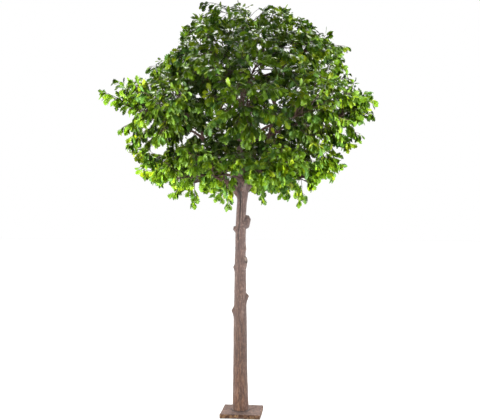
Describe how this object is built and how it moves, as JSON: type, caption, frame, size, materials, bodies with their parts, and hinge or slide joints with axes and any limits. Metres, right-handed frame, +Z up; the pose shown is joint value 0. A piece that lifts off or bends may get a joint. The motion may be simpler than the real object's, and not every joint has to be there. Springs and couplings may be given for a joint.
{
  "type": "artificial oak tree",
  "caption": "Free-standing artificial oak tree: a straight knotted trunk on a square base plate, with a dense round crown of lobed leaves carried on spreading boughs.",
  "frame": {"origin": "centre of the square base plate's flat underside, on the floor", "axes": "+Z up along the trunk; +X along the plate's front edge, to the right as seen from the front; -Y towards the front"},
  "size_m": [2.0494, 1.8261, 2.9931],
  "materials": {
    "plate_coating": "rough cast, bark-coloured coating",
    "bark": "rough furrowed bark",
    "leaves": "semi-matte woven leaf"
  },
  "bodies": {
    "root": {"base_plate": "plate_coating", "trunk": "bark", "leader": "bark", "bough_left": "bark", "bough_left_inner": "bark", "bough_right": "bark", "bough_front": "bark", "bough_back": "bark", "bough_low_1": "bark", "bough_low_2": "bark", "bough_low_3": "bark", "bough_low_4": "bark", "bough_low_5": "bark", "bough_low_6": "bark", "bough_low_7": "bark", "bough_middle_1": "bark", "bough_middle_2": "bark", "bough_middle_3": "bark", "bough_middle_4": "bark", "bough_middle_5": "bark", "bough_middle_6": "bark", "bough_middle_7": "bark", "bough_middle_8": "bark", "bough_high_1": "bark", "bough_high_2": "bark", "bough_high_3": "bark", "bough_high_4": "bark", "bough_high_5": "bark", "bough_high_6": "bark", "bough_top": "bark", "foliage_low_1": "leaves", "foliage_low_2": "leaves", "foliage_low_3": "leaves", "foliage_low_4": "leaves", "foliage_low_5": "leaves", "foliage_low_6": "leaves", "foliage_low_7": "leaves", "foliage_middle_1": "leaves", "foliage_middle_2": "leaves", "foliage_middle_3": "leaves", "foliage_middle_4": "leaves", "foliage_middle_5": "leaves", "foliage_middle_6": "leaves", "foliage_middle_7": "leaves", "foliage_middle_8": "leaves", "foliage_high_1": "leaves", "foliage_high_2": "leaves", "foliage_high_3": "leaves", "foliage_high_4": "leaves", "foliage_high_5": "leaves", "foliage_high_6": "leaves", "foliage_top": "leaves"}
  },
  "joints": []
}
